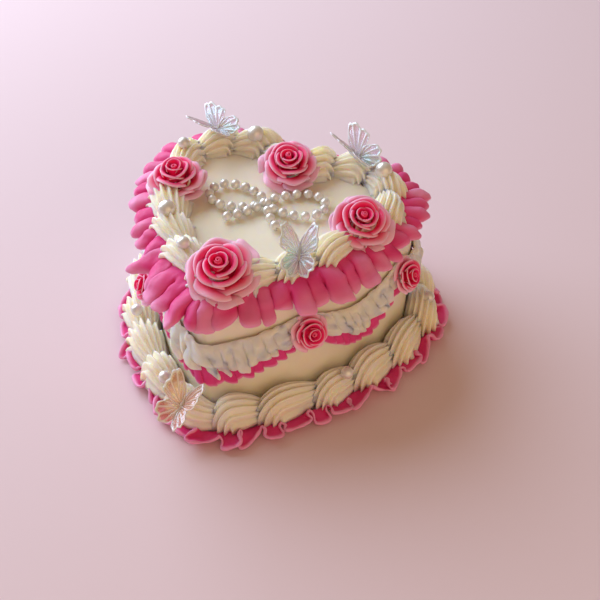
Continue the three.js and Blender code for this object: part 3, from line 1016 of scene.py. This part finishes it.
def petalRule(whorl, index, seed):
    footR, footZ = whorl["foot"]
    rimR, rimZ = whorl["rim"]
    width = math.pi / whorl["count"] * whorl["width"]
    width *= 1 + petalUneven["width"] * uneven(seed + index)
    middle = turn * (index + petalUneven["place"] * uneven(seed + 20 + index)) / whorl["count"]
    rise = 1 + petalUneven["rise"] * uneven(seed + 40 + index)
    spread = 1 + petalUneven["spread"] * uneven(seed + 60 + index)
    tuck = 0.1 * rimR

    def rule(u, w):
        side = 2 * u - 1
        edge = abs(side)
        drop = 0.5 * edge**2.4 * w
        out = w**0.8 - 0.3 * drop
        radius = blend(footR, rimR * spread, out) + tuck * side * w
        radius += whorl["roll"] * ease((w - 0.7) / 0.3) * (1 - 0.4 * edge)
        radius += 0.03 * rimR * w * math.sin(3.4 * math.pi * u + seed + index)
        up = math.sin(math.pi / 2 * min(1, w * 1.06)) - drop
        height = blend(footZ, rimZ * rise, up) - 0.5 * whorl["roll"] * ease((w - 0.78) / 0.22)
        height += 0.045 * rimR * w * w * math.sin(5 * side + 2 * index + seed)
        angle = middle + side * width * (0.7 + 0.3 * math.sin(math.pi / 2 * min(1, 1.2 * w)))
        return radius * math.cos(angle), radius * math.sin(angle), height

    return rule


# Petals are deep pink at the foot and pale at the rim, the outer ones pale from lower down
def paintRim(piece, pale, share=1):
    rim = piece.data.attributes["rim"]
    for item in rim.data:
        edge = pale * ease((item.value - 0.1) / 0.75) + (1 - pale) * ease((item.value - 0.78) / 0.22)
        item.value = share * min(1, edge)


def budRule(bud, foot):
    def rule(u, w):
        angle = turn * bud["turns"] * u
        radius = bud["radius"] * (1 - 0.72 * u) * (1 - 0.15 * w)
        height = blend(foot, bud["height"], w) - 0.6 * (1 - u) * w
        return radius * math.cos(angle), radius * math.sin(angle), height

    return rule


def modelRose(values, seed):
    fine = values["fine"]
    parts = []
    for level, whorl in enumerate(values["whorls"]):
        for index in range(whorl["count"]):
            petal = sheet("petal", fine, 1 + fine // 2, petalRule(whorl, index, seed + 7 * level))
            petal.data.transform(Matrix.Rotation(2.4 * level + seed, 4, "Z"))
            paintRim(petal, whorl["pale"])
            parts.append(petal)
    bud = sheet("bud", 26, 6, budRule(values["bud"], values["core"][1] - 1))
    paintRim(bud, 0, 0.3)
    parts.append(bud)
    rose = joined("rose", parts)
    addModifier(rose, "SOLIDIFY", thickness=values["thick"] * mm, offset=0)
    smoothed(rose)
    deselectAll()
    radius, height = (size * mm for size in values["core"])
    bpy.ops.mesh.primitive_cone_add(vertices=24, radius1=radius, radius2=0.3 * radius, depth=height)
    core = bpy.context.object
    core.data.transform(Matrix.Translation((0, 0, height / 2)))
    smoothed(core)
    paintEvenly(core, 0)
    return joined("rose", [rose, core])


# Each large rose has its node, its place, how far it leans and towards where, its turn and size
roseBase = 54.2
roseSpots = {
    "roseLeft": ("rose_left", -32.6, 2.8, 8, -105, 20, 1.0),
    "roseNotch": ("rose_notch", -0.6, 26.5, 20, -72, 75, 1.0),
    "roseRight": ("rose_right", 33.7, 5.0, 24, -53, 140, 1.0),
    "roseTip": ("rose_tip", 2.3, -34.2, 22, -80, 200, 1.12),
}


def setLargeRoses():
    for i, (name, spot) in enumerate(roseSpots.items()):
        node, x, y, lean, towards, heading, size = spot
        rose = modelRose(largeRose, 3 * i + 1)
        rose.name = name
        towards = math.radians(towards)
        axis = Vector((-math.sin(towards), math.cos(towards), 0))
        place = Matrix.Translation(Vector((x, y, roseBase)) * mm)
        place = place @ rotated(lean, axis)
        place = place @ rotated(heading, "Z") @ Matrix.Scale(size, 4)
        rose.data.transform(place)
        finishPiece(rose, roseIcing, "rose_icing", node)


# The small roses cover the joints of the swags and face outwards and a little up
sideRoseValues = {"tilt": 26, "height": 34, "reach": 2.5, "notchReach": 3.3}


def setSideRoses():
    values = sideRoseValues
    path = heartPath(0)
    half = path["length"] / 2
    shares = [s * sign for s in swagValues["junctions"][:-1] for sign in (1, -1)] + [1]
    for i, share in enumerate(shares):
        rose = modelRose(smallRose, 31 + 2 * i)
        rose.name = f"sideRose{i + 1}"
        point, out = station(path, share * half)
        tilt = math.radians(values["tilt"])
        facing = Vector((out.x * math.cos(tilt), out.y * math.cos(tilt), math.sin(tilt)))
        reach = values["reach"] if share < 1 else values["notchReach"]
        spot = Vector((point.x + out.x * reach, point.y + out.y * reach, values["height"]))
        turned = Vector((0, 0, 1)).rotation_difference(facing).to_matrix().to_4x4()
        rose.data.transform(Matrix.Translation(spot * mm) @ turned)
        finishPiece(rose, roseIcing, "rose_icing", f"side_rose_{i + 1}")


setLargeRoses()
setSideRoses()
print("roses done")


# Pearls: balls with a drilled hole, which lies level and nearly across the view. The path of
# those on the base has its offset from the wall and its radii at the tip and the notch.
pearlValues = {
    "top": [
        (-26.9, -15.6, 3), (-13.6, -29.4, 2.1), (-18.2, 36.6, 3), (-39.6, 21.4, 2.1),
        (32.3, 32.4, 3),
    ],
    "topHeight": 58.9,
    "base": [0.306, 0.596, 0.86, -0.102, -0.31, -0.62],
    "basePath": (8.2, 12, 9),
    "baseRadius": 2.2,
    "baseHeight": 13.4,
    "holeTaper": 0.75,
    "holeDepth": 0.22,
    "smoothBelow": 0.8,
}


def modelPearl(segments=28, rings=18):
    deselectAll()
    bpy.ops.mesh.primitive_uv_sphere_add(segments=segments, ring_count=rings, radius=1)
    pearl = bpy.context.object
    hole = math.cos(math.pi / rings * 1.5)
    taper = pearlValues["holeTaper"]
    bpy.ops.object.mode_set(mode="EDIT")
    for side in (1, -1):
        bpy.ops.mesh.select_all(action="DESELECT")
        leaveEdit()
        for face in pearl.data.polygons:
            face.select = face.center.z * side > hole
        bpy.ops.object.mode_set(mode="EDIT")
        bpy.ops.mesh.select_mode(type="FACE")
        bpy.ops.transform.resize(value=(taper, taper, 1), center_override=(0, 0, side))
        extrude(0, 0, -pearlValues["holeDepth"] * side)
    leaveEdit()
    return pearl


def finishPearl(piece, node):
    finishPiece(piece, pearlFinish, "pearl", node)
    bpy.ops.object.shade_smooth_by_angle(angle=pearlValues["smoothBelow"])


def setPearl(name, node, pearl, radius, spot, seed):
    double = copyOf(pearl)
    double.name = name
    tilted = rotated(90 + 8 * uneven(seed), "X")
    tilted = rotated(110 + 14 * uneven(seed + 9), "Z") @ tilted
    place = Matrix.Translation(Vector(spot) * mm) @ tilted
    double.data.transform(place @ Matrix.Scale(radius * mm, 4))
    finishPearl(double, node)


def setPearls():
    values = pearlValues
    pearl = modelPearl()
    for i, (x, y, radius) in enumerate(values["top"]):
        spot = (x, y, values["topHeight"])
        setPearl(f"pearlTop{i + 1}", f"pearl_top_{i + 1}", pearl, radius, spot, i)
    path = heartPath(*values["basePath"])
    for i, share in enumerate(values["base"]):
        spot = onPath(path, share * path["length"] / 2, 0, values["baseHeight"])
        node = f"pearl_base_{i + 1}"
        setPearl(f"pearlBase{i + 1}", node, pearl, values["baseRadius"], spot, 20 + i)
    remove(pearl)


setPearls()


# The bow: beads on a thread in two loops and two tails
bowValues = {
    "x": -1.3,
    "y": 6.8,
    "turn": 9,
    "bead": 1.65,
    "pitch": 4.1,
    "centre": 10.6,
    "long": 10,
    "wide": 6.1,
    "pinch": 0.28,
    "tilt": 8.5,
    "tails": [(-10.8, -10.1), (6.1, -11.2)],
    "height": 53.0,
}


def loopPoint(hand, angle):
    values = bowValues
    pinch = 1 - values["pinch"] * math.cos(angle)
    u = values["centre"] - values["long"] * math.cos(angle)
    v = values["wide"] * pinch * math.sin(angle)
    tilt = math.radians(values["tilt"])
    x = u * math.cos(tilt) - v * math.sin(tilt)
    y = u * math.sin(tilt) + v * math.cos(tilt)
    return Vector((hand * x, y, 0))


# Spots about one pitch apart along a line of points, each with the line's direction there
def spaced(points, pitch, closed):
    if closed:
        points = points + points[:1]
    lengths = [(b - a).length for a, b in zip(points, points[1:])]
    count = round(sum(lengths) / pitch) + (not closed)
    step = sum(lengths) / (count if closed else count - 1)
    spots, walked, target = [], 0, 0
    for a, b, length in zip(points, points[1:], lengths):
        while target <= walked + length + 1e-9 and len(spots) < count:
            spots.append((a.lerp(b, (target - walked) / length), (b - a).normalized()))
            target += step
        walked += length
    return spots


def modelBow():
    values = bowValues
    bead = modelPearl(20, 12)
    beads = []
    strings = [([loopPoint(hand, turn * i / 90) for i in range(90)], True) for hand in (-1, 1)]
    shares = (0, 0.25, 0.5, 0.75, 1)
    for x, y in values["tails"]:
        tail = [Vector((x * t, y * (t + 0.1 * math.sin(math.pi * t)), 0)) for t in shares]
        strings.append((tail, False))
    knot = Vector((values["x"], values["y"], values["height"]))
    turned = rotated(values["turn"], "Z")
    for points, closed in strings:
        spots = spaced(points, values["pitch"], closed)
        for spot, way in spots if closed else spots[1:]:
            double = copyOf(bead)
            aimed = Vector((0, 0, 1)).rotation_difference(way).to_matrix().to_4x4()
            place = Matrix.Translation(knot * mm) @ turned @ Matrix.Translation(spot * mm) @ aimed
            double.data.transform(place @ Matrix.Scale(values["bead"] * mm, 4))
            beads.append(double)
    remove(bead)
    finishPearl(joined("pearlBow", beads), "pearl_bow")


modelBow()
print("pearls done")


# Butterflies: clear moulded wings, each with a raised outline and veins, painted white as a
# highlight, on a slim body.
# Each butterfly has its node, its place, its heading, its pitch, how far its wings rise and its
# size. A wing's outline is a list of directions from its root and how far it reaches there.
butterflyValues = {
    "butterflyBackLeft": ("butterfly_back_left", -31.6, 32.6, 59.5, 74, 4, 30, 1.08),
    "butterflyBackRight": ("butterfly_back_right", 21.8, 35, 59.8, 62, 12, 42, 1.14),
    "butterflyFront": ("butterfly_front", 22.8, -21.6, 59, 18, 40, 36, 1.02),
    "butterflyBase": ("butterfly_base", -5.2, -55, 11.6, -18, 40, 28, 1.1),
}
wingValues = {
    "fore": [
        (2, 4.6), (16, 8.2), (28, 8.9), (40, 10.0), (51, 11.8), (60, 11.2), (70, 7.4), (80, 4.2),
    ],
    "hind": [
        (-88, 4.4), (-74, 7.2), (-60, 8.4), (-46, 7.8), (-32, 8.3), (-18, 7.2), (-6, 5.6),
        (6, 4.2),
    ],
    "veins": 5,
    "thick": 0.3,
    "raised": 0.34,
    "columns": 52,
    "rows": 15,
}
# The slim body starts in front, and each step back has its length and how much it widens
trunkValues = {
    "radius": 0.35,
    "front": 4.6,
    "steps": [(0.8, 2.0), (1.4, 1.25), (1.6, 1.05), (2.2, 0.85), (2.0, 0.7), (1.2, 0.4)],
    # white: how far the body is painted toward the same white highlight as the raised lines
    "white": 0.7,
}


def wingLine(u, w):
    vein = abs(math.cos(math.pi * wingValues["veins"] * u)) ** 14 * min(1, 3 * w) * 0.8
    outline = ease((w - 0.87) / 0.08)
    side = ease((abs(2 * u - 1) - 0.9) / 0.08)
    return min(1, max(vein, outline, side))


def wingRule(outline):
    def rule(u, w):
        angle, reach = curveAt(outline, u)
        radius = reach * (0.04 + 0.96 * w)
        radius *= 1 - 0.03 * w * (1 + math.cos(turn * wingValues["veins"] * u))
        angle = math.radians(angle)
        height = wingValues["raised"] * wingLine(u, w) + 0.7 * math.sin(math.pi * 0.8 * w)
        return radius * math.cos(angle), radius * math.sin(angle), height

    return rule


def modelWing(side):
    columns = wingValues["columns"]
    wing = sheet("wing", columns, wingValues["rows"], wingRule(wingValues[side]))
    # The rim attribute marks the raised lines, which the film paints white as a highlight.
    rim = wing.data.attributes["rim"]
    for i, item in enumerate(rim.data):
        item.value = wingLine((i % (columns + 1)) / columns, item.value)
    return wing


def modelTrunk():
    values = trunkValues
    place = values["front"]
    deselectAll()
    bpy.ops.mesh.primitive_circle_add(
        vertices=12,
        radius=values["radius"] * mm,
        fill_type="NGON",
        rotation=(math.pi / 2, 0, 0),
        location=(0, place * mm, 0),
    )
    trunk = bpy.context.object
    bpy.ops.object.transform_apply(location=True, rotation=True, scale=True)
    editAll()
    for step, grow in values["steps"]:
        extrude(0, -step * mm, 0)
        place -= step
        bpy.ops.transform.resize(value=(grow, 1, grow), center_override=(0, place * mm, 0))
    leaveEdit()
    outwards(trunk)
    smoothed(trunk)
    paintEvenly(trunk, values["white"])
    return trunk


def modelButterfly(dihedral):
    parts = []
    for hand in (1, -1):
        for side in ("fore", "hind"):
            wing = modelWing(side)
            if hand < 0:
                wing.data.transform(Matrix.Scale(-1, 4, (1, 0, 0)))
                wing.data.flip_normals()
            wing.data.transform(rotated(-hand * dihedral, "Y"))
            parts.append(wing)
    wings = joined("butterfly", parts)
    addModifier(wings, "SOLIDIFY", thickness=wingValues["thick"] * mm, offset=0)
    applyModifiers(wings)
    return joined("butterfly", [wings, modelTrunk()])


def setButterflies():
    for name, (node, x, y, z, heading, pitch, dihedral, size) in butterflyValues.items():
        butterfly = modelButterfly(dihedral)
        butterfly.name = name
        place = Matrix.Translation(Vector((x, y, z)) * mm)
        place = place @ rotated(heading, "Z")
        place = place @ rotated(pitch, "X") @ Matrix.Scale(size, 4)
        butterfly.data.transform(place)
        film = peachFilm if name == "butterflyBase" else coolFilm
        finishPiece(butterfly, film, "clear_film", node)


setButterflies()
print("butterflies done")


# Floor, light and camera
paper, tree, shader = newMaterial("palePaper")
setSockets(tree, shader, {"Base Color": linear("#e8d2dc"), "Roughness": 0.9})
setSockets(tree, shader, {"Specular IOR Level": 0.1})
deselectAll()
bpy.ops.mesh.primitive_plane_add(size=3)
floor = bpy.context.object
floor.name = "floor"
floor.data.materials.append(paper)

lightValues = {
    "key": {"spot": (-0.66, 0.25, 0.42), "size": 1.1, "power": 12.4, "colour": (0.75, 0.88, 1.0)},
    "fill": {"spot": (0.5, -0.45, 0.3), "size": 0.9, "power": 1.9, "colour": (1.0, 0.68, 0.38)},
}
lightAim = Vector((0, 0, 0.03))
roomValues = {"colour": "#ffdcb6", "strength": 0.29}
cameraValues = {
    "lens": 60.33,
    "spot": (0.11448, -0.24474, 0.26005),
    "view": (-0.28029, 0.68421, -0.67327),
}

for name, values in lightValues.items():
    light = bpy.data.lights.new(name, "AREA")
    light.shape = "DISK"
    light.size = values["size"]
    light.energy = values["power"]
    light.color = values["colour"]
    holder = bpy.data.objects.new(name, light)
    bpy.context.scene.collection.objects.link(holder)
    holder.location = values["spot"]
    aim = lightAim - holder.location
    holder.rotation_euler = aim.to_track_quat("-Z", "Y").to_euler()

world = bpy.data.worlds.new("softRoom")
bpy.context.scene.world = world
world.use_nodes = True
background = world.node_tree.nodes["Background"]
background.inputs["Color"].default_value = linear(roomValues["colour"])
background.inputs["Strength"].default_value = roomValues["strength"]
bpy.context.scene.view_settings.view_transform = "Standard"

camera = bpy.data.objects.new("camera", bpy.data.cameras.new("camera"))
bpy.context.scene.collection.objects.link(camera)
camera.data.sensor_width = 36
camera.data.lens = cameraValues["lens"]
camera.location = cameraValues["spot"]
view = Vector(cameraValues["view"])
camera.rotation_euler = view.to_track_quat("-Z", "Y").to_euler()
camera.data.clip_start = 0.01
bpy.context.scene.camera = camera
print("floor, light and camera done")
